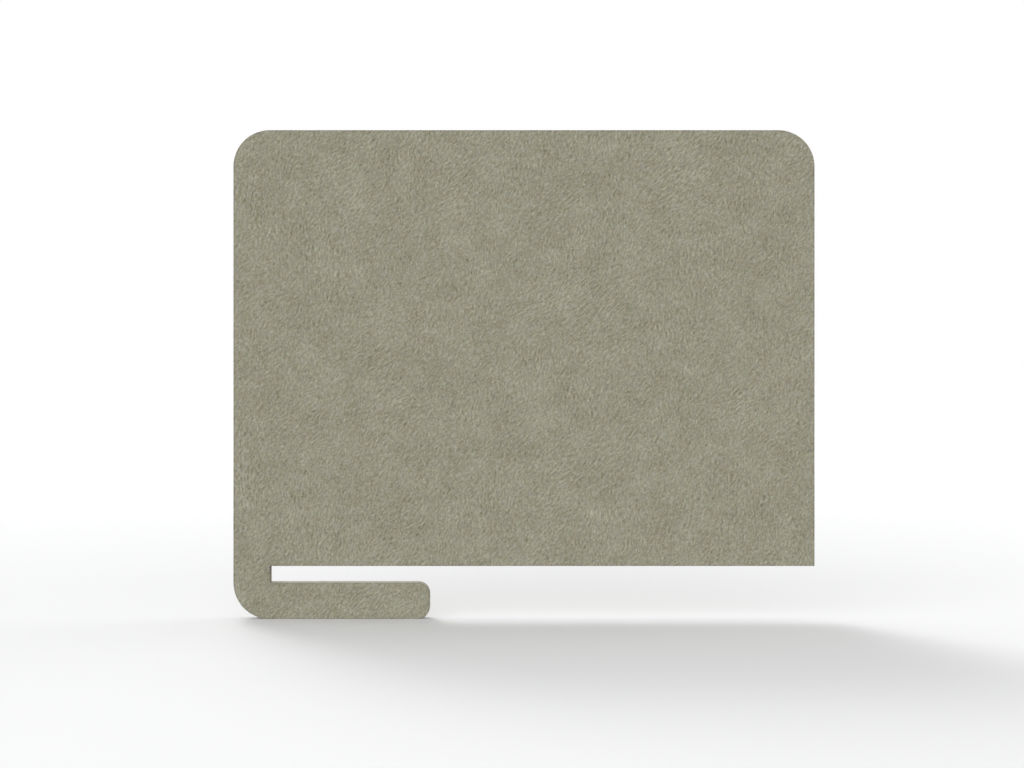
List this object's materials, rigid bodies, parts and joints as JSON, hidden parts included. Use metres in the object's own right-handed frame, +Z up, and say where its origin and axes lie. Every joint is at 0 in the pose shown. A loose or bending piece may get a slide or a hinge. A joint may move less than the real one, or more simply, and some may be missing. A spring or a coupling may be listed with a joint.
{
  "type": "desk divider screen",
  "caption": "Upright pressed-felt acoustic desk screen, laminated in flush plies, with a hooked foot that slides over the edge of a desktop.",
  "frame": {"origin": "where the slot's end wall meets the screen's lower edge, at mid thickness: the top corner of the desktop's edge", "axes": "+X along the screen from the slot's end wall to the free end, +Y through the thickness from front to rear, +Z up from the desktop"},
  "size_m": [0.8, 0.024, 0.673],
  "materials": {
    "face_felt": "matte",
    "core": "matte",
    "adhesive_film": "satin"
  },
  "bodies": {
    "root": {"front_felt": "face_felt", "front_bond": "adhesive_film", "core_board": "core", "rear_bond": "adhesive_film", "rear_felt": "face_felt"}
  },
  "joints": []
}
